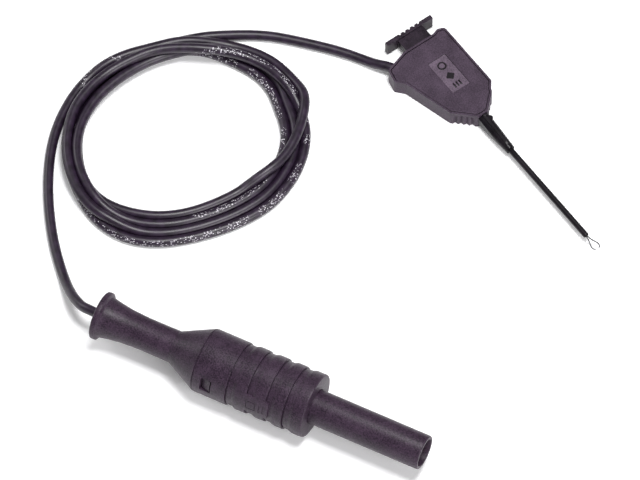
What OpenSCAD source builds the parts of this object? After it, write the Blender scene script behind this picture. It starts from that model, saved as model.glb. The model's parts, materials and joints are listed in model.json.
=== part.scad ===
// Clip-on test lead: wire-loop grabber clip, coiled cable, sheathed 4 mm banana plug.
// Millimetres. Clip lies on its back on z = 0, tip toward +X. Cable and plug lie on the same plane.
// z = 0 is the resting plane, x = y = 0 is the middle of the clip's footprint.

/* [Clip body] */
// Clip body thickness
clip_t = 4.2; // [3.8:0.1:5]
// Clip side wall
wall = 0.9; // [0.8:0.05:1.2]
// Rim left around the cover plate
rim = 0.45; // [0.35:0.05:0.6]
// Inlaid cover plate thickness
cover_t = 0.8; // [0.6:0.1:1.2]
// Floor thickness of the tray
floor_t = 0.8; // [0.6:0.1:1.2]

/* [Thumb bar] */
// Half width of the thumb bar
bar_half = 6.2; // [5:0.1:7]
// Half width of the neck
neck_half = 3.4; // [3:0.1:3.6]

/* [Nozzle and stem] */
// Where the nozzle ends and only the stem goes on
nozzle_end = 38; // [36:0.5:40]
// Stem tube outer diameter
stem_d = 1.34; // [1.2:0.02:1.6]
// Stem tube bore
stem_bore = 0.9; // [0.8:0.05:1]
// Stem tube front end
stem_end = 65.8; // [60:0.1:70]
// Jaw wire diameter
wire_d = 0.3; // [0.25:0.05:0.35]

/* [Plug] */
// Radius over the grip ribs
rib_r = 7.375; // [7:0.005:8]
// Radius of the grooves between the ribs
groove_r = 7.02; // [6.8:0.01:7.2]
// Sheath outer diameter
sheath_d = 7.9; // [7.8:0.05:8]
// Sheath bore
sheath_bore = 6.35; // [6.1:0.05:6.5]
// Banana pin diameter
pin_d = 4; // [3.9:0.05:4]

/* [Cable] */
// Cable outer diameter
cable_d = 2.26; // [2:0.02:2.6]
// Bare conductor diameter
core_d = 1; // [0.8:0.05:1.2]

/* [Hidden] */
$fn = 48;
e = 0.01;

// clip drawing origin (middle of the thumb bar's outer edge) to the row origin
clip_off = [-35, 2.05, 0];
axis_z = 2.1;                 // height of the rod, stem and wires
// plug: middle of the flange plane, axis angle
plug_at = [-13.7, -97.7, rib_r];
plug_a = 27;
// cable through the clip's slanted shoulder
entry = [6.0, -7.9];
entry_a = 27.8;

C_BODY = [0.27, 0.25, 0.27];
C_DARK = [0.10, 0.09, 0.10];
C_GLOSS = [0.06, 0.06, 0.07];
C_STEEL = [0.75, 0.76, 0.78];
C_BRASS = [0.80, 0.65, 0.30];
C_COPPER = [0.78, 0.45, 0.28];
C_CORE = [0.20, 0.20, 0.22];
C_CABLE = [0.08, 0.07, 0.09];

// ---------- outline helpers (counter-clockwise lists of points) ----------
function unit(v) = v / norm(v);
function left(v) = [-v[1], v[0]];
function inset(p, d) = let (n = len(p)) [for (i = [0:n - 1])
  let (a = p[(i + n - 1) % n], b = p[i], c = p[(i + 1) % n],
       n1 = left(unit(b - a)), n2 = left(unit(c - b)))
  b + d * (n1 + n2) / (1 + n1 * n2)];
function corner(a, b, c, r, k) = r == 0 ? [b] :
  let (d1 = unit(b - a), d2 = unit(c - b),
       cr = d1[0] * d2[1] - d1[1] * d2[0], s = cr >= 0 ? 1 : -1,
       th = acos(min(1, max(-1, d1 * d2))), t = r * tan(th / 2),
       ctr = b - t * d1 + s * r * left(d1), st = -s * r * left(d1))
  [for (j = [0:k]) let (q = s * th * j / k) ctr + [st[0] * cos(q) - st[1] * sin(q), st[0] * sin(q) + st[1] * cos(q)]];
function rounded(p, r, k) = let (n = len(p)) [for (i = [0:n - 1])
  each corner(p[(i + n - 1) % n], p[i], p[(i + 1) % n], r[i], k)];

// ---------- tube along points ----------
function tang(p, i) = let (n = len(p))
  unit(i == 0 ? p[1] - p[0] : i == n - 1 ? p[n - 1] - p[n - 2] : unit(p[i] - p[i - 1]) + unit(p[i + 1] - p[i]));
function ring(p, i, r, s, up) = let (t = tang(p, i), a = unit(cross(t, up)), b = cross(a, t))
  [for (j = [0:s - 1]) p[i] + r * (cos(360 * j / s) * a + sin(360 * j / s) * b)];
module tube(p, r, s = 8, up = [0, 0, 1]) {
  n = len(p);
  polyhedron(points = [for (i = [0:n - 1]) each ring(p, i, r, s, up)],
    faces = concat(
      [[for (j = [0:s - 1]) j]],
      [for (i = [0:n - 2]) for (j = [0:s - 1])
        [i * s + j, (i + 1) * s + j, (i + 1) * s + (j + 1) % s, i * s + (j + 1) % s]],
      [[for (j = [s - 1:-1:0]) (n - 1) * s + j]]), convexity = 6);
}
// spring along +X: closed end coils, n working turns
function helix_x(x0, x1, rm, n, k, w) = [for (i = [0:n * k])
  let (f = i / (n * k), a = 360 * i / k, x = x0 + w / 2 + (x1 - x0 - w) * f) [x, rm * cos(a), rm * sin(a)]];
function hring(p, i, r, s) = let (t = tang(p, i), o = unit([0, p[i][1], p[i][2]]), a = unit(cross(t, o)), b = cross(a, t))
  [for (j = [0:s - 1]) p[i] + r * (cos(360 * j / s) * a + sin(360 * j / s) * b)];
module spring_x(x0, x1, rm, w, n, k = 14, s = 6) {
  p = helix_x(x0, x1, rm, n, k, w);
  m = len(p);
  polyhedron(points = [for (i = [0:m - 1]) each hring(p, i, w / 2, s)],
    faces = concat(
      [[for (j = [0:s - 1]) j]],
      [for (i = [0:m - 2]) for (j = [0:s - 1])
        [i * s + j, (i + 1) * s + j, (i + 1) * s + (j + 1) % s, i * s + (j + 1) % s]],
      [[for (j = [s - 1:-1:0]) (m - 1) * s + j]]), convexity = 10);
}

module clip() translate(clip_off) children();
module plug() translate(plug_at) rotate([0, 0, plug_a]) children();
module along_x(x0) translate([x0, 0, 0]) rotate([90, 0, 90]) children();
// ring or disc on the X axis
module disc_x(x0, x1, r, b = 0) along_x(x0) linear_extrude(x1 - x0) difference() {
  circle(r);
  if (b > 0) circle(b);
}
// revolve a list of [x, r] about the X axis
module turn(p) rotate([90, 0, 90]) rotate_extrude($fn = 64) polygon([for (q = p) [q[1], q[0]]]);
module box(a, b) translate(a) cube(b - a);
module cable_dir(t) translate([entry[0], entry[1], axis_z]) rotate([0, 0, entry_a]) translate([t, 0, 0]) rotate([0, 90, 0]) children();

// ---------- clip outline ----------
facet_l = [[23.5, -5.75], [27.9, -1.3]];
facet_r = [[27.9, 1.3], [24.6, 4.9]];
out_pts = [[4.6, -4.4], [6.3, -10.1], [9.6, -10.8], [11.6, -9.05], [23.5, -5.75],
  [27.9, -1.3], [27.9, 1.3], [24.6, 4.9], [23.4, 5.5], [22.0, 6.7], [4.7, 6.7], [4.1, 5.0], [4.6, 3.7]];
out_r = [0.6, 1.1, 0.9, 0.8, 0.4, 0.25, 0.25, 0, 0.4, 0.5, 1.0, 0.4, 0.3];
outline = rounded(out_pts, out_r, 5);
inner_r = [0.3, 0.5, 0.3, 0.4, 0.3, 0.2, 0.2, 0, 0.4, 0.4, 0.5, 0.3, 0.3];

module outer2d() polygon(outline);
module inner2d(d) polygon(rounded(inset(out_pts, d), inner_r, 3));
module notches(a, b, n) for (i = [0:n - 1])
  let (u = unit(b - a), w = left(u), p = a + u * (0.35 + 1.25 * i), q = p + u * 1.25)
  polygon([p - w * 0.3, q - w * 0.3, q, (p + q) / 2 + w * 0.45, p]);

module clip_housing() color(C_BODY) clip() difference() {
  union() {
    linear_extrude(clip_t - cover_t) difference() {
      outer2d();
      notches([23.6, -5.65], [27.8, -1.4], 4);
      notches([27.8, 1.4], [24.7, 4.8], 3);
    }
    translate([0, 0, clip_t - cover_t]) linear_extrude(cover_t) outer2d();
  }
  difference() {
    translate([0, 0, floor_t]) linear_extrude(clip_t) inner2d(wall);
    // guide blocks each side of the neck
    box([3, neck_half + 0.1, 0], [8.35, 4.5, clip_t - cover_t]);
    box([3, -4.4, 0], [8.35, -neck_half - 0.1, clip_t - cover_t]);
    // bulkhead that carries the rod
    box([15.4, -3, 0], [16.2, 3, clip_t - cover_t]);
    // end wall behind the nozzle flange
    box([26.95, -3, 0], [29, 3, clip_t]);
  }
  // seat of the cover plate
  translate([0, 0, clip_t - cover_t]) linear_extrude(clip_t) inner2d(rim);
  // neck slot
  box([2, -neck_half - 0.1, floor_t], [8.4, neck_half + 0.1, clip_t - cover_t + e]);
  // rod bore and nozzle opening
  disc2(14, 17, 0.56);
  box([26, -1.02, 0.98], [29, 1.02, 3.22]);
  // cable hole
  cable_dir(-2.5) cylinder(r = 1.22, h = 4.2);
}
module disc2(x0, x1, r) translate([0, 0, axis_z]) along_x(x0) linear_extrude(x1 - x0) circle(r);

module clip_cover() color(C_BODY) clip() difference() {
  translate([0, 0, clip_t - cover_t]) linear_extrude(cover_t) inner2d(rim + 0.03);
  // label recess with raised generic marks
  difference() {
    box([10.3, -2.15, clip_t - 0.12], [19.7, 2.6, clip_t + 1]);
    translate([12.4, 0.2, 0]) linear_extrude(clip_t) difference() { circle(1.05); circle(0.7); }
    translate([15.6, 0.2, 0]) linear_extrude(clip_t) polygon([[-1.1, 0], [0, -1.1], [1.1, 0], [0, 1.1]]);
    box([17.6, -0.75, 0], [18.9, -0.35, clip_t]);
    box([17.6, 0.0, 0], [18.9, 0.4, clip_t]);
    box([17.6, 0.75, 0], [18.9, 1.15, clip_t]);
  }
}

module thumb_button() color(C_DARK) clip() difference() {
  union() {
    translate([0, 0, 0.35]) linear_extrude(3.5) difference() {
      polygon([[0.12, -bar_half], [0.72, -bar_half], [1.0, -neck_half], [1.0, neck_half], [0.72, bar_half], [0.12, bar_half],
        [0, 3.3], [0, -3.3]]);
      for (i = [0:4]) translate([0, -2.5 + 1.25 * i]) polygon([[-1, -0.625], [0, -0.625], [0.45, 0], [0, 0.625], [-1, 0.625]]);
    }
    box([0.9, -neck_half, 0.9], [9.6, neck_half, 3.3]);
    box([8.4, -4.1, 0.9], [9.6, 4.1, 3.3]);
    disc2(9.5, 12, 0.8);
  }
  disc2(10.4, 13, 0.5);
  for (s = [-1, 1]) translate([2.6, 2.1 * s, 3.15]) cylinder(r = 0.75, h = 1);
}
module contact_rod() color(C_BRASS) clip() disc2(10.4, 21.4, 0.5);
module return_spring() color(C_STEEL) clip() translate([0, 0, axis_z]) spring_x(9.6, 15.4, 1.05, 0.26, 7);
module wire_ferrule() color(C_BRASS) clip() difference() {
  disc2(20.2, 22.8, 0.85);
  disc2(20, 21.4, 0.5);
  for (s = [-1, 1]) translate([0, 0.17 * s, 0]) disc2(21.4 - e, 23, wire_d / 2);
}
module jaw_wire(s) translate([0, 0.17 * s, 0]) disc2(21.4, 65.93, wire_d / 2);
module wire_left() color(C_STEEL) clip() jaw_wire(-1);
module wire_right() color(C_STEEL) clip() jaw_wire(1);
jaw_pts = [[65.96, 0.17], [66.6, 0.22], [67.5, 0.46], [68.2, 0.74], [68.75, 0.88], [69.25, 0.88], [69.6, 0.7], [69.85, 0.4]];
module jaw(s) tube([for (q = jaw_pts) [q[0], s * q[1], axis_z]], wire_d / 2, 8);
module jaw_left() color(C_STEEL) clip() jaw(-1);
module jaw_right() color(C_STEEL) clip() jaw(1);

module nozzle() color(C_GLOSS) clip() difference() {
  union() {
    translate([0, 0, 0.9]) linear_extrude(2.4) intersection() {
      translate([25.6, -2]) square([1.33, 4]);
      inner2d(wall + 0.05);
    }
    box([26.5, -1, 1.0], [28, 1, 3.2]);
    intersection() {
      translate([27.9, 0, axis_z]) rotate([0, 90, 0]) cylinder(r1 = 1.75, r2 = 1.05, h = nozzle_end - 27.9);
      box([27.9, -1.3, 0], [nozzle_end, 1.3, clip_t]);
    }
    // top ridge, lug and stop block
    translate([0, 0.3, 0]) rotate([90, 0, 0]) linear_extrude(0.6)
      polygon([[27.9, 2.4], [37.4, 2.4], [37.0, 3.3], [36.2, 3.55], [27.9, 4.1]]);
    translate([29.4, 0.85, 2.2]) cylinder(r = 0.6, h = 1.55);
    box([27.9, -0.1, 2.4], [28.6, 0.8, 4.15]);
  }
  disc2(25, 30, stem_bore / 2);
  disc2(30, 40, stem_d / 2);
}
module stem_tube() color(C_GLOSS) clip() difference() {
  disc2(30, stem_end, stem_d / 2);
  disc2(29, 70, stem_bore / 2);
}

module contact_plate() color(C_BRASS) clip() difference() {
  union() {
    box([10.6, -6.2, floor_t], [17.5, -4.5, 1.1]);
    box([17.2, -6.2, floor_t], [17.5, 1.6, 3.2]);
  }
  box([17, -7, 1.1], [18, -1.6, 4]);
  disc2(17, 18, 0.55);
  box([17, -0.55, axis_z], [18, 0.55, 4]);
}
module core(t0, t1) cable_dir(t0) cylinder(r = core_d / 2, h = t1 - t0);
module solder_joint() color(C_STEEL) clip() difference() {
  translate([11.5, -5.25, 1.1]) cylinder(r1 = 0.72, r2 = 0.5, h = 1.4);
  core(4.3, 6.2);
}
module clip_conductor() color(C_COPPER) clip() core(4.3, 6.2);
module cable_clamp() color(C_CORE) clip() difference() {
  translate([entry[0], entry[1], 0]) rotate([0, 0, entry_a]) translate([1.3, -1.7, floor_t]) cube([2.6, 3.4, clip_t - cover_t - floor_t]);
  cable_dir(0) cylinder(r = 1.15, h = 6);
}

// ---------- cable ----------
// coil, seen from above: angle, inner radius, outer radius about its middle
coil_at = [-43.3, -53.0];
coil_h = 4.6;
coil_rr = [[0, 21.5, 27.4], [30, 21.4, 27.8], [60, 21.0, 26.4], [90, 20.4, 24.8], [120, 19.8, 25.0], [150, 20.2, 26.2],
  [180, 21.6, 26.8], [210, 23.2, 28.2], [235, 22.6, 29.2], [257, 21.0, 29.6], [280, 19.2, 29.0], [305, 18.8, 28.2],
  [330, 19.4, 27.5], [345, 20.6, 27.4]];
function coil_poly(k) = [for (c = coil_rr) c[k] * [cos(c[0] + 53.5), sin(c[0] + 53.5)]];
// clip tail, from the jacket's end in the clip to the coil
tail_clip = [for (t = [4.3, 2.2, 0, -1.6]) [clip_off[0] + entry[0] + t * cos(entry_a), clip_off[1] + entry[1] + t * sin(entry_a), axis_z]];
tail_clip_b = [[-32.2, -7.7, 1.8], [-34.6, -9.0, 1.3], [-37.6, -10.8, 1.14], [-40.6, -12.7, 1.14], [-44.3, -15.4, 1.14], [-47.8, -18.3, 1.2],
  [-51.0, -21.3, 1.5], [-54.0, -24.7, 1.9], [-56.4, -28.1, 2.3], [-58.4, -31.5, 2.3], [-60.6, -35.8, 2.3]];
// plug tail, from the coil to the jacket's end in the plug
tail_plug = [[-65.0, -67.0, 1.6], [-62.6, -72.5, 1.14], [-59.5, -76.9, 1.14], [-56.0, -80.4, 1.14], [-50.1, -85.1, 1.14], [-44.0, -89.1, 1.14],
  [-39.5, -91.7, 1.14], [-35.0, -93.9, 1.2], [-31.2, -95.5, 1.5], [-28.0, -96.7, 2.1], [-24.8, -97.8, 3.2], [-21.6, -98.7, 4.7], [-18.8, -99.1, 6.0],
  [-16.2, -98.7, 7.0]];
function plug_pt(x) = [plug_at[0] + x * cos(plug_a), plug_at[1] + x * sin(plug_a), rib_r];

module cord_tail_clip() color(C_CABLE) tube(concat(tail_clip, tail_clip_b), cable_d / 2);
module cord_coil() color(C_CABLE) translate([coil_at[0], coil_at[1], 0]) linear_extrude(coil_h) difference() {
  polygon(coil_poly(2));
  polygon(coil_poly(1));
}
module cord_tail_plug() color(C_CABLE) tube(concat(tail_plug, [plug_pt(0), plug_pt(4), plug_pt(8), plug_pt(12.2)]), cable_d / 2);

// ---------- plug ----------
module window_at(s) rotate([s > 0 ? -14 : 166, 0, 0]) children();
module plug_rear_cap() color(C_BODY) plug() {
  turn([[0, 4.9], [0, 5.3], [0.25, 5.52], [1.15, 5.52], [1.5, 5.2], [2.0, 4.64], [2.9, 4.44], [3.8, 4.27], [4.7, 4.15], [5.6, 4.01],
    [6.5, 3.89], [7.4, 3.82], [8.4, 3.77], [9.5, 3.70], [11, 3.64], [15.6, 3.64], [17.4, 3.67], [18.6, 3.70], [25.6, 7.15], [25.95, 7.25],
    [25.95, 6.3], [31, 6.3], [31, 5.35], [24.5, 5.35], [24.5, 4.65], [22.3, 4.65], [22.3, 2.6], [12.3, 2.6], [12.3, 1.25], [9.2, 1.25],
    [6.5, 1.7], [4, 2.6], [2, 3.7], [0.8, 4.5]]);
  // snap teeth that show in the grip's windows
  for (s = [-1, 1]) window_at(s) rotate([0, 0, 0]) intersection() {
    box([28.3, s * 0 - 8, -1.45], [30.3, -5.9, 1.45]);
    turn([[27, 6.29], [31, 6.29], [30.3, 7.1], [29.9, 7.1], [28.3, 6.5]]);
  }
}
function rib(x) = [[x + 0.05, groove_r], [x + 1.35, groove_r], [x + 2.3, rib_r], [x + 4.55, rib_r]];
module plug_grip() color(C_BODY) plug() difference() {
  union() {
    turn(concat([[25.98, 6.35], [25.98, 7.2], [26.15, 7.32], [34.1, 7.32]],
      [[34.15, groove_r], [35.45, groove_r], [36.4, rib_r], [38.9, rib_r], [38.95, groove_r], [40.2, groove_r], [41.1, rib_r], [43.5, rib_r],
       [43.55, groove_r], [44.8, groove_r], [45.7, rib_r], [47.9, rib_r], [47.95, groove_r], [49.2, groove_r], [50.1, rib_r], [52.5, rib_r], [52.7, 7.2]],
      [[52.7, 4.02], [50.7, 4.02], [50.7, 5.3], [31.05, 5.3], [31.05, 6.35]]));
    // smooth pads with a generic ring mark
    for (s = [-1, 1]) window_at(s) difference() {
      intersection() {
        box([37.4, -8, -2.5], [44.6, -6, 2.5]);
        turn([[37, 6.5], [45, 6.5], [45, 7.36], [37, 7.36]]);
      }
      translate([41, -7.2, 0]) rotate([90, 0, 0]) linear_extrude(1) difference() { circle(1.7); circle(1.3); }
    }
  }
  for (s = [-1, 1]) window_at(s) box([28, -9, -1.75], [30.6, -5, 1.75]);
}
module plug_sheath() color(C_BODY) plug() turn([[48.65, sheath_bore / 2], [48.65, 5.2], [50.65, 5.2], [50.65, sheath_d / 2], [79.0, sheath_d / 2],
  [79.3, sheath_d / 2 - 0.25], [79.3, sheath_bore / 2 + 0.15], [79.1, sheath_bore / 2]]);
module sheath_spring() color(C_STEEL) plug() spring_x(24.52, 48.63, 4.1, 0.6, 7, 14);
module banana_pin() color(C_BRASS) plug() turn([[17, 0], [17, 1.6], [58.02, 1.6], [58.02, pin_d / 2], [62, pin_d / 2], [62.2, 1.5], [74.2, 1.5], [74.4, pin_d / 2],
  [76, pin_d / 2], [77, 1.6], [77.3, 1.0], [77.3, 0]]);
// bowed strips round the pin, joined by a ring at each end
module lamella_spring() color(C_BRASS) plug() intersection() {
  turn([[62.4, 1.55], [62.4, 1.75], [63.4, 1.8], [66, 1.94], [68.2, 1.99], [70.4, 1.94], [73, 1.8], [74, 1.75], [74, 1.55], [73, 1.6], [70.4, 1.76],
    [68.2, 1.81], [66, 1.76], [63.4, 1.6]]);
  union() {
    disc_x(62.3, 63.4, 3);
    disc_x(73, 74.1, 3);
    for (i = [0:5]) rotate([60 * i, 0, 0]) box([63, -0.6, 0], [74, 0.6, 3]);
  }
}
module pin_carrier() color(C_CORE) plug() turn([[19.05, 1.62], [19.05, 2.5], [22.35, 2.5], [22.35, 4.6], [24.48, 4.6], [24.48, 3.0], [58, 3.0], [58, 1.62]]);
module pin_retainer() color(C_STEEL) plug() disc_x(18.3, 19.03, 2.4, 1.6);
module cable_crimp() color(C_BRASS) plug() turn([[13, core_d / 2], [13, 2.2], [18.2, 2.2], [18.2, 1.6], [17, 1.6], [17, core_d / 2]]);
module plug_conductor() color(C_COPPER) plug() disc_x(12.2, 17, core_d / 2);

clip_housing();
clip_cover();
thumb_button();
contact_rod();
return_spring();
wire_ferrule();
wire_left();
wire_right();
jaw_left();
jaw_right();
nozzle();
stem_tube();
contact_plate();
solder_joint();
clip_conductor();
cable_clamp();
cord_tail_clip();
cord_coil();
cord_tail_plug();
plug_rear_cap();
plug_grip();
plug_sheath();
sheath_spring();
banana_pin();
lamella_spring();
pin_carrier();
pin_retainer();
cable_crimp();
plug_conductor();
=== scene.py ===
import bpy, bmesh, json, math
import numpy as np
from mathutils import Vector, Matrix


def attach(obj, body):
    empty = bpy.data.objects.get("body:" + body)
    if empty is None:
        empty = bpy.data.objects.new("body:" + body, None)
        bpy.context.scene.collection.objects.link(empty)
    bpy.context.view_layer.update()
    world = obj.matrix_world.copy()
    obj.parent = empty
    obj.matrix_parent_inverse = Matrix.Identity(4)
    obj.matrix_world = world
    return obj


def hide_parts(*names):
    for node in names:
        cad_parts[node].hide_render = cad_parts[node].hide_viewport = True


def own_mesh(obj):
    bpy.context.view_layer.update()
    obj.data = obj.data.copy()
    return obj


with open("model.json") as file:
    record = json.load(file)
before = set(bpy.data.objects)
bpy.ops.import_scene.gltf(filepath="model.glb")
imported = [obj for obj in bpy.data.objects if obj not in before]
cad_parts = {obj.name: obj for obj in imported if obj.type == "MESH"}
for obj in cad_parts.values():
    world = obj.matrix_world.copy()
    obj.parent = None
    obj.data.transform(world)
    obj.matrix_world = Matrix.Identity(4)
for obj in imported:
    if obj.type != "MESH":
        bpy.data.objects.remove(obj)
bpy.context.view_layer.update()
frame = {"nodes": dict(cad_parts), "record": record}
MM = 0.001
scene = bpy.context.scene
D = bpy.data

# ------------------------------------------------------------------ camera
cam_data = D.cameras.new("view")
cam = D.objects.new("view", cam_data)
scene.collection.objects.link(cam)
d = Vector((0.4260, -0.3152, 0.8480)).normalized()
xr = Vector((0.5948, 0.8039, 0.0)).normalized()
yr = d.cross(xr).normalized()
xr = yr.cross(d).normalized()
tgt = Vector((-4.2, -44.8, 0.0)) * MM
m = Matrix((xr, yr, d)).transposed().to_4x4()
m.translation = tgt + d * 4.0
cam.matrix_world = m
cam_data.sensor_width = 36
cam_data.lens = 1025.0
cam_data.clip_start = 0.05
cam_data.clip_end = 10
scene.camera = cam

# ------------------------------------------------------------------ cable route (mm, row frame)
R = 1.13                      # jacket radius
COIL = (-43.57, -53.06)       # middle of the coil
TURN = math.radians(53.5)     # drawing turned into the row frame

def row_xy(x, y):
    c, s = math.cos(TURN), math.sin(TURN)
    return (COIL[0] + c * x - s * y, COIL[1] + s * x + c * y)

def seen(theta, r, z):
    t = math.radians(theta)
    x, y = row_xy(r * math.cos(t), r * math.sin(t) - 0.625 * (z - R))
    return (x, y, z)

# angle round the coil, radius as it looks from the camera, and height
TURNS = [(67,28.1,R), (75,26.6,R), (82,25.4,R), (90,24.4,R), (105,23.3,R), (120,22.9,R), (135,22.9,R), (150,23.6,R), (165,24.6,R), (180,25.4,R), (195,26.2,R), (210,27.2,R),
(225,28.7,R), (240,29.3,R), (255,28.8,R), (270,27.3,R), (285,26.1,R), (300,25.7,R), (315,25.7,R), (330,26.1,R), (345,26.3,R), (360,26.3,R),
(375,25.9,1.6), (390,25.9,2.9), (405,25.3,3.4), (420,24.3,3.9), (435,23.3,4.6), (450,22.6,5.0), (465,22.8,5.0), (480,23.1,4.5), (495,23.3,3.9), (510,24.0,3.5), (525,25.0,3.4), (540,25.5,3.4), (555,26.1,3.4), (570,26.7,3.3),
(585,27.2,2.7), (600,27.3,1.9), (615,26.4,1.4), (630,25.0,R), (645,24.0,R), (660,23.8,R), (675,24.1,R), (690,24.5,R), (705,24.7,R), (720,24.9,R),
(735,24.9,R), (750,24.9,R), (765,24.4,1.7), (780,23.7,2.6), (795,22.8,3.2), (810,21.9,3.3), (825,21.0,3.1), (840,20.5,2.9), (855,20.6,2.8), (870,21.2,3.0), (885,22.1,3.3), (900,23.2,3.4), (915,24.3,3.4), (930,25.0,3.3),
(945,25.7,2.8), (960,25.4,2.0), (975,24.3,1.4), (990,22.8,R), (1005,21.8,R), (1020,21.7,R), (1035,22.0,R), (1050,22.4,R), (1065,22.8,R), (1080,23.0,R),
(1095,22.8,R), (1110,22.7,R), (1125,22.4,R), (1140,22.2,R), (1155,22.0,R), (1170,21.9,R), (1185,21.4,R), (1200,21.1,R), (1215,21.1,R), (1230,21.5,R), (1245,22.2,R), (1260,23.1,R), (1275,24.0,R), (1290,25.0,R),
(1305,25.2,R), (1320,23.8,R), (1335,22.4,R), (1350,20.8,R), (1365,19.6,R), (1380,19.2,R), (1395,19.7,1.3), (1410,20.9,2.6), (1425,22.8,3.5), (1440,25.0,3.6), (1455,27.0,2.9),
(1470,27.8,1.9), (1485,27.2,1.3), (1500,25.7,1.3), (1515,24.9,2.3), (1530,24.3,3.2), (1545,23.7,3.4), (1560,23.9,2.9), (1575,24.5,1.8), (1590,25.4,R), (1605,26.7,R)]

ENTRY = (-29.0, -5.85)
EA = math.radians(27.8)
route = [(ENTRY[0] - t * math.cos(EA), ENTRY[1] - t * math.sin(EA), 2.1 - 0.1 * max(0, t - 1)) for t in (0, 0.8, 1.6)]
route += [(-32.2, -7.8, 1.75), (-34.0, -8.8, 1.35), (-36.6, -10.15, R), (-40.6, -12.6, R), (-44.3, -15.35, R), (-47.8, -18.15, R), (-50.2, -20.1, R),
          (-52.5, -22.1, R), (-54.5, -24.3, R), (-56.0, -26.2, R)]
route += [seen(*k) for k in TURNS]
route += [(-62.9, -72.5, R), (-59.5, -76.9, R), (-56.0, -80.4, R), (-53.1, -82.85, R), (-50.1, -85.15, R), (-47.1, -87.2, R), (-44.05, -89.1, R), (-41.8, -90.4, R),
          (-39.5, -91.7, R), (-37.2, -92.8, R), (-35.0, -93.85, 1.2), (-33.0, -94.7, 1.3), (-31.2, -95.4, 1.5), (-29.6, -96.0, 1.75), (-28.0, -96.6, 2.1), (-26.4, -97.2, 2.6),
          (-24.8, -97.75, 3.2), (-23.2, -98.25, 3.95), (-21.6, -98.65, 4.75), (-20.2, -98.9, 5.4), (-18.8, -99.05, 6.0), (-17.4, -98.95, 6.6), (-16.0, -98.55, 7.05)]
PA = math.radians(27)
AX = Vector((math.cos(PA), math.sin(PA), 0))
P0 = Vector((-13.7, -97.7, 7.375))
for x in (0.6, 2.5, 4.5, 6.5, 8.5, 10.5, 12.2):
    p = P0 + AX * x
    route.append((p.x, p.y, p.z))

def spline(pts, step):
    """Centripetal Catmull-Rom through the points, resampled at an even step."""
    p = np.array(pts, float)
    p = np.vstack([2 * p[0] - p[1], p, 2 * p[-1] - p[-2]])
    out = []
    for i in range(1, len(p) - 2):
        a, b, c, e = p[i - 1], p[i], p[i + 1], p[i + 2]
        t0 = 0.0
        t1 = t0 + np.linalg.norm(b - a) ** 0.5
        t2 = t1 + np.linalg.norm(c - b) ** 0.5
        t3 = t2 + np.linalg.norm(e - c) ** 0.5
        for t in np.linspace(t1, t2, 9)[:-1]:
            A1 = (t1 - t) / (t1 - t0) * a + (t - t0) / (t1 - t0) * b
            A2 = (t2 - t) / (t2 - t1) * b + (t - t1) / (t2 - t1) * c
            A3 = (t3 - t) / (t3 - t2) * c + (t - t2) / (t3 - t2) * e
            B1 = (t2 - t) / (t2 - t0) * A1 + (t - t0) / (t2 - t0) * A2
            B2 = (t3 - t) / (t3 - t1) * A2 + (t - t1) / (t3 - t1) * A3
            out.append((t2 - t) / (t2 - t1) * B1 + (t - t1) / (t2 - t1) * B2)
    out.append(p[-2])
    out = np.array(out)
    return even(out, step)

def even(q, step):
    s = np.r_[0, np.cumsum(np.linalg.norm(np.diff(q, axis=0), axis=1))]
    n = max(3, int(round(s[-1] / step)))
    u = np.linspace(0, s[-1], n + 1)
    return np.stack([np.interp(u, s, q[:, k]) for k in range(3)], 1)

UP = np.array([-math.sin(TURN), math.cos(TURN)])

def settle(p, rounds=400):
    """Pushes touching turns apart, keeps the line smooth, near its drawn route and on the table."""
    home = p.copy()
    n = len(p)
    fixed = np.zeros(n, bool)
    fixed[:6] = True
    fixed[-16:] = True
    s = np.arange(n)
    far = np.triu(np.abs(s[:, None] - s[None, :]) > 4)
    d0 = np.sqrt(((home[:, None, :] - home[None, :, :]) ** 2).sum(2))
    I, J = np.nonzero(far & (d0 < 9.0))
    hs = home[:, :2] + 0.625 * (home[:, 2:3] - R) * UP
    gap = 2 * R + 0.01
    for k in range(rounds):
        q = np.zeros_like(p)
        q[1:-1] = 0.5 * (p[:-2] + p[2:]) - p[1:-1]
        b = np.zeros_like(p)
        b[2:-2] = 0.5 * (q[1:-3] + q[3:-1]) - q[2:-2]
        p = p - 0.5 * b
        ps = p[:, :2] + 0.625 * (p[:, 2:3] - R) * UP
        w = 0.05 if k < rounds * 0.7 else 0.02
        p[:, :2] += w * (hs - ps)
        p[:, 2] += w * 0.35 * (home[:, 2] - p[:, 2]) - 0.006
        for _ in range(3):
            v = p[I] - p[J]
            L = np.sqrt((v ** 2).sum(1)) + 1e-9
            m = L < gap
            g = (0.35 * (gap - L[m]) / L[m])[:, None] * v[m]
            np.add.at(p, I[m], g)
            np.add.at(p, J[m], -g)
            p[:, 2] = np.maximum(p[:, 2], R + 0.003)
        p[fixed] = home[fixed]
    return p

def smooth_even(p, step):
    """Resamples a settled line at an even step with a curve through its points."""
    return spline(p, step)

line = spline(route, 1.5)
line = settle(line)
line = smooth_even(line, 0.9)
line[:, 2] = np.maximum(line[:, 2], R + 0.001)

# ------------------------------------------------------------------ mesh helpers
def new_obj(name, bm, smooth=True):
    me = D.meshes.new(name)
    bm.normal_update()
    bm.to_mesh(me)
    bm.free()
    ob = D.objects.new(name, me)
    scene.collection.objects.link(ob)
    if smooth:
        for f in me.polygons:
            f.use_smooth = True
    return ob

def apply_mods(ob):
    dg = bpy.context.evaluated_depsgraph_get()
    ev = ob.evaluated_get(dg)
    me = D.meshes.new_from_object(ev, preserve_all_data_layers=True, depsgraph=dg)
    old = ob.data
    ob.modifiers.clear()
    ob.data = me
    D.meshes.remove(old)

def sharp_by_angle(ob, deg=32):
    me = ob.data
    bm = bmesh.new()
    bm.from_mesh(me)
    lim = math.radians(deg)
    for e in bm.edges:
        e.smooth = not (len(e.link_faces) == 2 and e.calc_face_angle(0) > lim)
    for f in bm.faces:
        f.smooth = True
    bm.to_mesh(me)
    bm.free()

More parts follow.
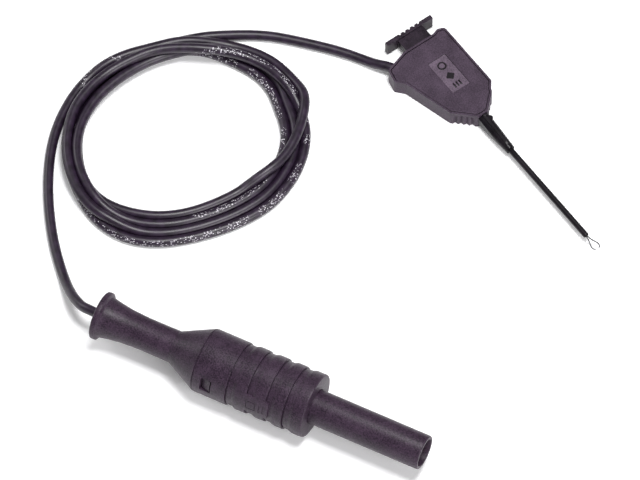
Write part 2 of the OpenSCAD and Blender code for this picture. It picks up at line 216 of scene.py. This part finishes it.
def flatten_normals(ob, deg=40):
    """Keeps flat faces flat beside rounded edges."""
    sharp_by_angle(ob, deg)
    md = ob.modifiers.new("n", "WEIGHTED_NORMAL")
    md.keep_sharp = True
    md.weight = 100
    apply_mods(ob)

def cable_mesh(name, pts, r, sides=20):
    """Tube along pts (mm) with a UV map: U is the length in metres, V goes once round."""
    n = len(pts)
    t = np.zeros_like(pts)
    t[1:-1] = pts[2:] - pts[:-2]
    t[0] = pts[1] - pts[0]
    t[-1] = pts[-1] - pts[-2]
    t /= np.linalg.norm(t, axis=1)[:, None]
    up = np.array([0, 0, 1.0])
    s = np.r_[0, np.cumsum(np.linalg.norm(np.diff(pts, axis=0), axis=1))] * MM
    bm = bmesh.new()
    uvl = bm.loops.layers.uv.new("UVMap")
    rings = []
    for i in range(n):
        a = np.cross(t[i], up)
        a /= np.linalg.norm(a)
        b = np.cross(a, t[i])
        rings.append([bm.verts.new(tuple((pts[i] + r * (math.cos(2 * math.pi * j / sides) * a + math.sin(2 * math.pi * j / sides) * b)) * MM)) for j in range(sides)])
    for i in range(n - 1):
        for j in range(sides):
            k = (j + 1) % sides
            f = bm.faces.new((rings[i][j], rings[i + 1][j], rings[i + 1][k], rings[i][k]))
            us = (s[i], s[i + 1], s[i + 1], s[i])
            vs = (j / sides, j / sides, (j + 1) / sides, (j + 1) / sides)
            for lp, u, v in zip(f.loops, us, vs):
                lp[uvl].uv = (u, v)
    bm.faces.new(rings[0][::-1])
    bm.faces.new(rings[-1])
    bmesh.ops.recalc_face_normals(bm, faces=bm.faces)
    return new_obj(name, bm)

def lathe(name, prof, segs=128, closed=True):
    """Revolves [x, r] (mm) about the plug's axis; prof is closed."""
    bm = bmesh.new()
    cols = []
    for j in range(segs):
        a = 2 * math.pi * j / segs
        cols.append([bm.verts.new((x, rr * math.cos(a), rr * math.sin(a))) if rr > 1e-6 or j == 0 else None for (x, rr) in prof])
    n = len(prof)
    for i in range(n):
        k = (i + 1) % n
        for j in range(segs):
            q = (j + 1) % segs
            vs = []
            for (c, w) in ((j, i), (j, k), (q, k), (q, i)):
                v = cols[c][w] if prof[w][1] > 1e-6 else cols[0][w]
                if v not in vs:
                    vs.append(v)
            if len(vs) > 2:
                bm.faces.new(vs)
    bmesh.ops.recalc_face_normals(bm, faces=bm.faces)
    return new_obj(name, bm)

def round_prof(prof, radii, k=4):
    """Rounds the corners of a closed [x, r] profile."""
    out = []
    n = len(prof)
    for i in range(n):
        a, b, c = (np.array(prof[(i + q) % n], float) for q in (-1, 0, 1))
        rr = radii[i] if isinstance(radii, (list, tuple)) else radii
        u, v = a - b, c - b
        lu, lv = np.linalg.norm(u), np.linalg.norm(v)
        if rr <= 0 or b[1] < 1e-6:
            out.append(tuple(b))
            continue
        u, v = u / lu, v / lv
        cut = min(rr, 0.45 * lu, 0.45 * lv)
        p, q = b + u * cut, b + v * cut
        for j in range(k + 1):
            t = j / k
            out.append(tuple((1 - t) ** 2 * p + 2 * t * (1 - t) * b + t * t * q))
    return out

PLUG = Matrix.Translation(P0 * MM) @ Matrix.Rotation(PA, 4, "Z") @ Matrix.Scale(MM, 4)
CLIP = Matrix.Translation(Vector((-35, 2.05, 0)) * MM) @ Matrix.Scale(MM, 4)

def place(ob, mat):
    ob.data.transform(mat)
    ob.data.update()
    return ob

def boolean(ob, cutter, op="DIFFERENCE"):
    md = ob.modifiers.new("b", "BOOLEAN")
    md.operation = op
    md.solver = "EXACT"
    md.object = cutter
    apply_mods(ob)
    me = cutter.data
    D.objects.remove(cutter)
    D.meshes.remove(me)

def bevel(ob, width, segs=2, angle=28):
    md = ob.modifiers.new("v", "BEVEL")
    md.width = width
    md.segments = segs
    md.limit_method = "ANGLE"
    md.angle_limit = math.radians(angle)
    md.use_clamp_overlap = True
    md.miter_outer = "MITER_ARC"
    apply_mods(ob)

def box_obj(name, lo, hi):
    bm = bmesh.new()
    r = bmesh.ops.create_cube(bm, size=1)
    for v in r["verts"]:
        v.co = Vector([(lo[k] + hi[k]) / 2 + v.co[k] * (hi[k] - lo[k]) for k in range(3)])
    return new_obj(name, bm, False)

def prism(name, poly, z0, z1):
    bm = bmesh.new()
    lo = [bm.verts.new((x, y, z0)) for x, y in poly]
    hi = [bm.verts.new((x, y, z1)) for x, y in poly]
    n = len(poly)
    bm.faces.new(lo[::-1])
    bm.faces.new(hi)
    for i in range(n):
        bm.faces.new((lo[i], lo[(i + 1) % n], hi[(i + 1) % n], hi[i]))
    bmesh.ops.recalc_face_normals(bm, faces=bm.faces)
    return new_obj(name, bm, False)

def refined(node, name, width, segs=2, angle=28, inset=0.0):
    """A copy of a CAD node with its edges rounded."""
    src = frame["nodes"][node]
    me = src.data.copy()
    ob = D.objects.new(name, me)
    scene.collection.objects.link(ob)
    me.materials.clear()
    bm = bmesh.new()
    bm.from_mesh(me)
    bmesh.ops.remove_doubles(bm, verts=bm.verts, dist=2e-6)
    bmesh.ops.dissolve_limit(bm, angle_limit=math.radians(1.0), verts=bm.verts, edges=bm.edges)
    bm.to_mesh(me)
    bm.free()
    if inset:
        lo = Vector(min(v.co[k] for v in me.vertices) for k in range(3))
        hi = Vector(max(v.co[k] for v in me.vertices) for k in range(3))
        for v in me.vertices:
            for k in (0, 1):
                c = (lo[k] + hi[k]) / 2
                v.co[k] = c + (v.co[k] - c) * (1 - inset)
    bevel(ob, width * MM, segs, angle)
    flatten_normals(ob, 40)
    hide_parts(node)
    return ob

# ------------------------------------------------------------------ materials
def mat(name, base, rough, alt=None, grain=6000, grain_mix=0.5, bump=0.15, bump_scale=9000, metal=0.0, coat=0.0, coat_rough=0.2, blotch=300, spec=0.5, rough_var=0.08):
    mt = D.materials.new(name)
    mt.use_nodes = True
    nt = mt.node_tree
    N, L = nt.nodes, nt.links
    bs = N["Principled BSDF"]
    bs.inputs["Roughness"].default_value = rough
    bs.inputs["Metallic"].default_value = metal
    bs.inputs["Coat Weight"].default_value = coat
    bs.inputs["Coat Roughness"].default_value = coat_rough
    bs.inputs["Specular IOR Level"].default_value = spec
    tc = N.new("ShaderNodeTexCoord")
    n1 = N.new("ShaderNodeTexNoise")
    n1.inputs["Scale"].default_value = grain
    n1.inputs["Detail"].default_value = 3
    n2 = N.new("ShaderNodeTexNoise")
    n2.inputs["Scale"].default_value = blotch
    n2.inputs["Detail"].default_value = 2
    L.new(tc.outputs["Object"], n1.inputs["Vector"])
    L.new(tc.outputs["Object"], n2.inputs["Vector"])
    add = N.new("ShaderNodeMath")
    add.operation = "MULTIPLY_ADD"
    add.inputs[1].default_value = grain_mix
    L.new(n1.outputs["Fac"], add.inputs[0])
    sc = N.new("ShaderNodeMath")
    sc.operation = "MULTIPLY"
    sc.inputs[1].default_value = 1 - grain_mix
    L.new(n2.outputs["Fac"], sc.inputs[0])
    L.new(sc.outputs[0], add.inputs[2])
    ramp = N.new("ShaderNodeValToRGB")
    ramp.color_ramp.elements[0].position = 0.36
    ramp.color_ramp.elements[1].position = 0.65
    ramp.color_ramp.elements[0].color = (*base, 1)
    ramp.color_ramp.elements[1].color = (*(alt or [c * 1.35 for c in base]), 1)
    L.new(add.outputs[0], ramp.inputs["Fac"])
    L.new(ramp.outputs["Color"], bs.inputs["Base Color"])
    mr = N.new("ShaderNodeMapRange")
    mr.inputs["To Min"].default_value = max(0.03, rough - rough_var)
    mr.inputs["To Max"].default_value = min(1, rough + rough_var)
    L.new(n2.outputs["Fac"], mr.inputs["Value"])
    L.new(mr.outputs["Result"], bs.inputs["Roughness"])
    n3 = N.new("ShaderNodeTexNoise")
    n3.inputs["Scale"].default_value = bump_scale
    n3.inputs["Detail"].default_value = 3
    L.new(tc.outputs["Object"], n3.inputs["Vector"])
    bp = N.new("ShaderNodeBump")
    bp.inputs["Strength"].default_value = bump
    bp.inputs["Distance"].default_value = 0.00004
    L.new(n3.outputs["Fac"], bp.inputs["Height"])
    L.new(bp.outputs["Normal"], bs.inputs["Normal"])
    return mt

M = {}
M["charcoal_plastic"] = mat("charcoal_plastic", (0.022, 0.013, 0.024), 0.50, alt=(0.068, 0.044, 0.072), grain=3600, grain_mix=0.7, bump=0.9, bump_scale=3000, spec=0.30)
M["panel_plastic"] = mat("panel_plastic", (0.056, 0.038, 0.058), 0.48, alt=(0.130, 0.092, 0.134), grain=3600, grain_mix=0.7, bump=0.6, bump_scale=4200, spec=0.4)
# near-black copy of the plastic: painted shade on the label's marks and their walls
M["mark_painted_shade"] = mat("mark_painted_shade", (0.004, 0.003, 0.005), 0.40, alt=(0.010, 0.007, 0.011), grain=3600, bump=0.3, bump_scale=4200, spec=0.3)
M["plug_plastic"] = mat("plug_plastic", (0.011, 0.0055, 0.012), 0.42, alt=(0.056, 0.034, 0.058), grain=3400, grain_mix=0.75, bump=1.0, bump_scale=3400, spec=0.24)
M["black_plastic"] = mat("black_plastic", (0.008, 0.005, 0.009), 0.40, alt=(0.034, 0.022, 0.036), grain=3600, bump=0.6, bump_scale=4000, spec=0.25)
M["gloss_black_plastic"] = mat("gloss_black_plastic", (0.003, 0.0022, 0.0036), 0.36, alt=(0.010, 0.007, 0.011), grain=2500, bump=0.10, bump_scale=1800, spec=0.22)
M["core_plastic"] = mat("core_plastic", (0.030, 0.030, 0.034), 0.5)
M["bright_steel"] = mat("bright_steel", (0.16, 0.16, 0.17), 0.30, alt=(0.30, 0.30, 0.31), grain=4000, bump=0.1, metal=1.0)
M["spring_steel"] = mat("spring_steel", (0.34, 0.34, 0.36), 0.3, alt=(0.52, 0.52, 0.54), grain=4000, bump=0.1, metal=1.0)
M["brass"] = mat("brass", (0.62, 0.45, 0.18), 0.26, alt=(0.80, 0.62, 0.30), grain=1800, bump=0.08, metal=1.0)
M["copper"] = mat("copper", (0.70, 0.32, 0.17), 0.3, alt=(0.85, 0.45, 0.27), grain=5000, bump=0.2, metal=1.0)
M["solder"] = mat("solder", (0.52, 0.53, 0.55), 0.3, alt=(0.66, 0.67, 0.68), grain=1500, bump=0.1, metal=1.0)

def cable_material():
    """Satin black jacket with a pale dot print. U is metres along the cable, V goes once round, 0.25 is up."""
    mt = D.materials.new("cable_jacket")
    mt.use_nodes = True
    nt = mt.node_tree
    N, L = nt.nodes, nt.links
    bs = N["Principled BSDF"]
    bs.inputs["Specular IOR Level"].default_value = 0.5
    bs.inputs["Coat Weight"].default_value = 0.0
    bs.inputs["Coat Roughness"].default_value = 0.25
    tc = N.new("ShaderNodeTexCoord")
    uv = N.new("ShaderNodeSeparateXYZ")
    L.new(tc.outputs["UV"], uv.inputs[0])
    def math_(op, a, b=None, c=None):
        nd = N.new("ShaderNodeMath")
        nd.operation = op
        for k, v in enumerate((a, b, c)):
            if v is None:
                continue
            if isinstance(v, (int, float)):
                nd.inputs[k].default_value = v
            else:
                L.new(v, nd.inputs[k])
        return nd.outputs[0]
    U, V = uv.outputs["X"], uv.outputs["Y"]
    # where round the cable the print runs, as a slow twist along it
    tw = N.new("ShaderNodeValToRGB")
    tw.color_ramp.interpolation = "LINEAR"
    el = tw.color_ramp.elements
    stops = TWIST
    total = CORD_LEN
    el[0].position, el[1].position = stops[0][0] / total, stops[1][0] / total
    el[0].color = (stops[0][1],) * 3 + (1,)
    el[1].color = (stops[1][1],) * 3 + (1,)
    for s, v in stops[2:]:
        e = el.new(s / total)
        e.color = (v, v, v, 1)
    L.new(math_("DIVIDE", U, total), tw.inputs["Fac"])
    centre = math_("MULTIPLY", tw.outputs["Color"], 1.0)
    dv = math_("SUBTRACT", V, centre)
    dv = math_("SUBTRACT", dv, math_("ROUND", dv))
    # cells: along the cable and across the print
    cu = math_("DIVIDE", U, 0.00036)
    cv = math_("MULTIPLY", dv, 30.0)
    comb = N.new("ShaderNodeCombineXYZ")
    L.new(math_("FLOOR", cu), comb.inputs[0])
    L.new(math_("FLOOR", cv), comb.inputs[1])
    wn = N.new("ShaderNodeTexWhiteNoise")
    wn.noise_dimensions = "2D"
    L.new(comb.outputs[0], wn.inputs["Vector"])
    on = math_("GREATER_THAN", wn.outputs["Value"], 0.72)
    fu = math_("ABSOLUTE", math_("SUBTRACT", math_("FRACT", cu), 0.5))
    fv = math_("ABSOLUTE", math_("SUBTRACT", math_("FRACT", cv), 0.5))
    dot = math_("LESS_THAN", math_("ADD", math_("MULTIPLY", fu, fu), math_("MULTIPLY", fv, fv)), 0.14)
    band = math_("LESS_THAN", math_("ABSOLUTE", dv), 0.117)
    # groups with gaps
    grp = N.new("ShaderNodeTexWhiteNoise")
    grp.noise_dimensions = "1D"
    L.new(math_("FLOOR", math_("DIVIDE", U, 0.0026)), grp.inputs["W"])
    gon = math_("GREATER_THAN", grp.outputs["Value"], 0.12)
    mask = math_("MULTIPLY", math_("MULTIPLY", on, dot), math_("MULTIPLY", band, gon))
    wear = N.new("ShaderNodeTexNoise")
    wear.inputs["Scale"].default_value = 2600
    L.new(tc.outputs["Object"], wear.inputs["Vector"])
    mask = math_("MULTIPLY", mask, math_("MINIMUM", math_("MAXIMUM", math_("MULTIPLY_ADD", wear.outputs["Fac"], 5.0, -1.9), 0.0), 0.95))
    n2 = N.new("ShaderNodeTexNoise")
    n2.inputs["Scale"].default_value = 700
    n2.inputs["Detail"].default_value = 4
    L.new(tc.outputs["Object"], n2.inputs["Vector"])
    ramp = N.new("ShaderNodeValToRGB")
    ramp.color_ramp.elements[0].position = 0.35
    ramp.color_ramp.elements[1].position = 0.7
    ramp.color_ramp.elements[0].color = (0.0080, 0.0036, 0.0105, 1)
    ramp.color_ramp.elements[1].color = (0.024, 0.012, 0.031, 1)
    L.new(n2.outputs["Fac"], ramp.inputs["Fac"])
    mx = N.new("ShaderNodeMix")
    mx.data_type = "RGBA"
    L.new(mask, mx.inputs[0])
    L.new(ramp.outputs["Color"], mx.inputs[6])
    mx.inputs[7].default_value = (0.92, 0.88, 0.96, 1)
    L.new(mx.outputs[2], bs.inputs["Base Color"])
    mr = N.new("ShaderNodeMapRange")
    mr.inputs["To Min"].default_value = 0.34
    mr.inputs["To Max"].default_value = 0.46
    L.new(n2.outputs["Fac"], mr.inputs["Value"])
    L.new(mr.outputs["Result"], bs.inputs["Roughness"])
    n3 = N.new("ShaderNodeTexNoise")
    n3.inputs["Scale"].default_value = 4200
    n3.inputs["Detail"].default_value = 3
    L.new(tc.outputs["Object"], n3.inputs["Vector"])
    bp = N.new("ShaderNodeBump")
    bp.inputs["Strength"].default_value = 0.12
    bp.inputs["Distance"].default_value = 0.00004
    L.new(n3.outputs["Fac"], bp.inputs["Height"])
    L.new(bp.outputs["Normal"], bs.inputs["Normal"])
    return mt

CORD_LEN = float(np.linalg.norm(np.diff(line, axis=0), axis=1).sum()) * MM
_rel = line[:, :2] - np.array(COIL)
_c, _s = math.cos(-TURN), math.sin(-TURN)
_th = np.degrees(np.unwrap(np.arctan2(_s * _rel[:, 0] + _c * _rel[:, 1], _c * _rel[:, 0] - _s * _rel[:, 1])))
_len = np.r_[0, np.cumsum(np.linalg.norm(np.diff(line, axis=0), axis=1))] * MM
_in = slice(int(np.argmax(_len > 0.045)), int(np.argmax(_len > CORD_LEN - 0.075)))

def at(theta):
    """Distance along the cable where it has gone this far round the coil."""
    return float(np.interp(theta, _th[_in], _len[_in]))

# (distance in metres, where the print sits round the cable: 0 is outwards, 0.25 up, 0.5 inwards, 0.75 down)
TWIST = [(0.0, 0.75), (at(190), 0.75), (at(206), 0.13), (at(250), 0.06), (at(285), 0.13), (at(345), 0.20), (at(400), 0.16), (at(430), 0.30), (at(445), 0.72), (at(985), 0.72),
         (at(1000), 0.24), (at(1018), 0.30), (at(1060), 0.36), (at(1130), 0.34), (at(1160), 0.45), (at(1185), 0.74), (at(1562), 0.74), (at(1572), 0.05), (at(1586), 0.08), (at(1598), 0.74), (CORD_LEN, 0.75)]
M["cable_jacket"] = cable_material()

def use(ob, slot, key=None):
    ob.data.materials.clear()
    ob.data.materials.append(M[key or slot])

# ------------------------------------------------------------------ cable
cable = cable_mesh("cable", line, R)
use(cable, "cable_jacket")
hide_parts("cord_tail_clip", "cord_coil", "cord_tail_plug")
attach(cable, "base")

# ------------------------------------------------------------------ plug
cap_out = [(0, 4.55), (0, 5.2), (0.2, 5.45), (0.7, 5.52), (1.2, 5.45), (1.42, 5.15), (1.62, 4.8), (2.0, 4.64), (2.9, 4.44), (3.8, 4.27), (4.7, 4.15), (5.6, 4.01), (6.5, 3.89),
           (7.4, 3.82), (8.4, 3.77), (9.5, 3.70), (11, 3.64), (13.3, 3.635), (15.6, 3.64), (17.4, 3.67), (18.55, 3.70), (18.7, 3.75), (22, 5.38), (25.55, 7.12), (25.75, 7.24), (25.95, 7.25),
           (25.95, 6.3), (31, 6.3), (31, 5.35), (24.5, 5.35), (24.5, 4.65), (22.3, 4.65), (22.3, 2.6), (12.3, 2.6), (12.3, 1.25), (9.2, 1.25), (6.5, 1.7), (4, 2.6), (2, 3.7), (0.8, 4.3), (0.3, 4.45)]
cap = lathe("rear_cap", cap_out, 128)
for s in (1, -1):
    a0 = math.radians(166 if s > 0 else -14)
    tooth = box_obj("t", (28.3, 5.9, -1.45), (30.3, 7.0, 1.45))
    for v in tooth.data.vertices:
        if v.co.y > 6.5:
            v.co.y = 6.45 if v.co.x < 29 else 7.05
    tooth.data.transform(Matrix.Rotation(a0, 4, "X"))
    boolean(cap, tooth, "UNION")
place(cap, PLUG)
sharp_by_angle(cap, 16)
use(cap, "charcoal_plastic", "plug_plastic")
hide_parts("plug_rear_cap")
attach(cap, "base")

gr, rr_ = 7.02, 7.375
grip_p = [(25.98, 6.35), (25.98, 7.16), (26.12, 7.30), (26.3, 7.32), (33.95, 7.32), (34.1, 7.26), (34.14, 6.78), (34.33, 6.78), (34.37, gr), (35.4, gr), (35.6, 7.05), (36.3, 7.33), (36.6, rr_), (38.7, rr_), (38.88, 7.30), (38.95, 6.78), (39.14, 6.78), (39.18, gr),
          (40.1, gr), (40.3, 7.05), (41.0, 7.33), (41.3, rr_), (43.3, rr_), (43.48, 7.30), (43.55, 6.78), (43.74, 6.78), (43.78, gr), (44.7, gr), (44.9, 7.05), (45.6, 7.33), (45.9, rr_), (47.7, rr_), (47.88, 7.30), (47.95, 6.78), (48.14, 6.78), (48.18, gr),
          (49.1, gr), (49.3, 7.05), (50.0, 7.33), (50.3, rr_), (52.3, rr_), (52.55, 7.31), (52.68, 7.15), (52.7, 7.0),
          (52.7, 4.12), (52.6, 4.02), (50.7, 4.02), (50.7, 5.3), (31.05, 5.3), (31.05, 6.35)]
grip = lathe("grip", grip_p, 144)
for s in (1, -1):
    a0 = math.radians(166 if s > 0 else -14)
    pad = box_obj("p", (37.5, 6.2, -2.45), (44.5, 8.4, 2.45))
    bevel(pad, 0.5, 3, 60)
    crown = lathe("c", [(37.0, 5.0), (45.0, 5.0), (45.0, 7.36), (37.0, 7.36)], 144)
    pad.data.transform(Matrix.Rotation(a0, 4, "X"))
    boolean(pad, crown, "INTERSECT")
    boolean(grip, pad, "UNION")
    win = box_obj("w", (28, 5, -1.75), (30.6, 9, 1.75))
    win.data.transform(Matrix.Rotation(a0, 4, "X"))
    boolean(grip, win)
    # generic mark on the pad: a square outline and two bars
    for (lo, hi) in (((39.2, -1.2), (39.5, 1.2)), ((41.3, -1.2), (41.6, 1.2)), ((39.5, -1.2), (41.3, -0.9)), ((39.5, 0.9), (41.3, 1.2)), ((42.3, -1.2), (42.6, 1.2)), ((43.2, -1.2), (43.5, 1.2))):
        g = box_obj("g", (lo[0], 7.22, lo[1]), (hi[0], 8.2, hi[1]))
        g.data.transform(Matrix.Rotation(a0, 4, "X"))
        boolean(grip, g)
place(grip, PLUG)
sharp_by_angle(grip, 13)
use(grip, "charcoal_plastic", "plug_plastic")
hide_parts("plug_grip")
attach(grip, "base")

sheath = lathe("sheath", [(48.65, 3.175), (48.65, 5.2), (50.65, 5.2), (50.65, 3.95), (78.85, 3.95), (79.05, 3.92), (79.22, 3.83), (79.3, 3.7), (79.3, 3.38), (79.24, 3.25), (79.1, 3.175)], 128)
place(sheath, PLUG)
sharp_by_angle(sheath, 30)
use(sheath, "charcoal_plastic", "plug_plastic")
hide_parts("plug_sheath")
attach(sheath, "sheath")

# ------------------------------------------------------------------ clip
for node, nm, w, slot, body in (("clip_housing", "housing", 0.16, "charcoal_plastic", "base"), ("clip_cover", "cover", 0.10, "charcoal_plastic", "base"),
                                ("nozzle", "nose", 0.10, "gloss_black_plastic", "base")):
    ob = refined(node, nm, w, inset=0.016 if nm == "cover" else 0.0)
    use(ob, slot)
    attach(ob, body)
    if nm == "cover":
        # label panel a shade lighter; its raised marks and the upright faces within it are painted near black, painted
        # shade for the relief of the marks
        ob.data.materials.append(M["panel_plastic"])
        ob.data.materials.append(M["mark_painted_shade"])
        x0, x1, y0, y1 = (-35 + 10.2) * MM, (-35 + 19.8) * MM, (2.05 - 2.3) * MM, (2.05 + 2.75) * MM
        for f in ob.data.polygons:
            c = f.center
            if x0 < c.x < x1 and y0 < c.y < y1 and c.z > 4.0 * MM and f.area < 60e-6:
                # upward faces: the recess floor lighter, the marks' tops in painted shade; every other face here gets
                # the painted shade as well
                if f.normal.z > 0.9:
                    f.material_index = 1 if c.z < 4.13 * MM else 2
                else:
                    f.material_index = 2

# thumb bar: a crossbar with teeth on its face, and the flat neck that slides in the housing
teeth = [(1.0, -6.2), (1.0, 6.2), (0.0, 6.2)]
for k in range(5):
    y = 3.05 - 1.25 * k
    teeth += [(0.0, y + 0.02), (0.42, y - 0.28), (0.42, y - 0.34), (0.0, y - 0.62)]
teeth += [(0.0, -6.2)]
bar = prism("thumb_bar", teeth, 0.35, 3.85)
bevel(bar, 0.13, 2, 40)
neck = prism("neck", [(0.7, -3.4), (9.6, -3.4), (9.6, 3.4), (0.7, 3.4)], 0.9, 3.3)
bevel(neck, 0.12, 2, 40)
boolean(bar, neck, "UNION")
for y in (-2.1, 2.1):
    mk = lathe("mk", [(3.22, 0.0), (3.22, 0.78), (3.5, 0.78), (3.5, 0.0)], 40)
    mk.data.transform(Matrix.Rotation(-math.pi / 2, 4, "Y"))
    mk.data.transform(Matrix.Translation((2.6, y, 0)))
    for v in mk.data.vertices:
        v.co.z = abs(v.co.z)
    boolean(bar, mk)
place(bar, CLIP)
flatten_normals(bar, 35)
use(bar, "black_plastic")
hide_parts("thumb_button")
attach(bar, "button")

stem = None
def tube_x(name, prof, segs=48):
    return lathe(name, prof, segs)
stem = tube_x("stem", [(30, 0.45), (30, 0.67), (65.45, 0.67), (65.62, 0.65), (65.75, 0.58), (65.8, 0.5), (65.8, 0.46), (65.75, 0.45)])
place(stem, Matrix.Translation(Vector((-35, 2.05, 2.1)) * MM) @ Matrix.Scale(MM, 4))
sharp_by_angle(stem, 35)
use(stem, "gloss_black_plastic")
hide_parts("stem_tube")
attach(stem, "base")

def wire(name, pts, r, body, node, sides=14):
    ob = cable_mesh(name, np.array(pts, float), r, sides)
    use(ob, "bright_steel")
    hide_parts(node)
    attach(ob, body)
    return ob

jp = [(65.96, 0.17), (66.6, 0.22), (67.5, 0.46), (68.2, 0.74), (68.75, 0.88), (69.25, 0.88), (69.6, 0.7), (69.85, 0.4)]
for s, nm in ((-1, "left"), (1, "right")):
    pts = spline([(x - 35, s * y + 2.05, 2.1) for x, y in jp], 0.12)
    wire("hook_" + nm, pts, 0.15, "jaw_" + nm + "_body", "jaw_" + nm)

# the springs: steel copies of the CAD coils, fixed to the base
for node, nm, joint, axis, anchor, keep in (
        ("return_spring", "button_coil", "button_slide", (1, 0, 0), ((-35 + 15.4) * MM, 2.05 * MM, 2.1 * MM), 0.53),
        ("sheath_spring", "sheath_coil", "sheath_slide", tuple(AX), tuple((P0 + AX * 24.52) * MM), 0.205)):
    src = frame["nodes"][node]
    me = src.data.copy()
    me.materials.clear()
    ob = D.objects.new(nm, me)
    scene.collection.objects.link(ob)
    bm = bmesh.new()
    bm.from_mesh(me)
    bmesh.ops.remove_doubles(bm, verts=bm.verts, dist=1e-6)
    bm.to_mesh(me)
    bm.free()
    sharp_by_angle(ob, 50)
    use(ob, "spring_steel")
    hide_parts(node)
    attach(ob, "base")
    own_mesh(ob)

# the CAD nodes that stay get their materials
slots = {s["node"]: s["material_slot"] for s in frame["record"]["subparts"]}
for node, ob in frame["nodes"].items():
    if node in ("clip_housing", "clip_cover", "thumb_button", "nozzle", "stem_tube", "jaw_left", "jaw_right", "plug_rear_cap", "plug_grip", "plug_sheath", "cord_tail_clip", "cord_coil", "cord_tail_plug", "return_spring", "sheath_spring"):
        continue
    ob.data.materials.clear()
    ob.data.materials.append(M[slots[node]])
    for f in ob.data.polygons:
        f.material_index = 0

# ------------------------------------------------------------------ floor and light
floor = box_obj("floor", (-3, -3, -0.02), (3, 3, 0))
fm = D.materials.new("floor")
fm.use_nodes = True
fm.node_tree.nodes["Principled BSDF"].inputs["Base Color"].default_value = (0.93, 0.93, 0.94, 1)
fm.node_tree.nodes["Principled BSDF"].inputs["Roughness"].default_value = 0.9
fm.node_tree.nodes["Principled BSDF"].inputs["Specular IOR Level"].default_value = 0.1
fm.node_tree.nodes["Principled BSDF"].inputs["Emission Color"].default_value = (1, 1, 1, 1)
fm.node_tree.nodes["Principled BSDF"].inputs["Emission Strength"].default_value = 0.16
floor.data.materials.append(fm)

def area(name, at, size, power, look=(-0.005, -0.045, 0.0), color=(1, 1, 1)):
    ld = D.lights.new(name, "AREA")
    ld.shape = "RECTANGLE"
    ld.size, ld.size_y = size
    ld.energy = power
    ld.color = color
    ob = D.objects.new(name, ld)
    scene.collection.objects.link(ob)
    ob.location = at
    ob.rotation_euler = (Vector(look) - Vector(at)).to_track_quat("-Z", "Y").to_euler()
    return ob

def from_view(right, up_ground, high):
    """A point given as seen in the picture: right, up the picture along the floor, and height."""
    g = xr * right + Vector((-0.8039, 0.5948, 0)) * up_ground
    return (tgt.x + g.x, tgt.y + g.y, high)

area("key", from_view(0.15, -0.05, 1.2), (0.40, 0.40), 14.0)
area("side", from_view(-0.85, 0.55, 0.55), (0.45, 0.35), 3.0)
area("fill", from_view(0.60, -0.75, 0.50), (0.45, 0.35), 7.0)
w = D.worlds.new("w")
scene.world = w
w.use_nodes = True
w.node_tree.nodes["Background"].inputs["Color"].default_value = (1, 1, 1, 1)
w.node_tree.nodes["Background"].inputs["Strength"].default_value = 0.20
scene.view_settings.view_transform = "Standard"
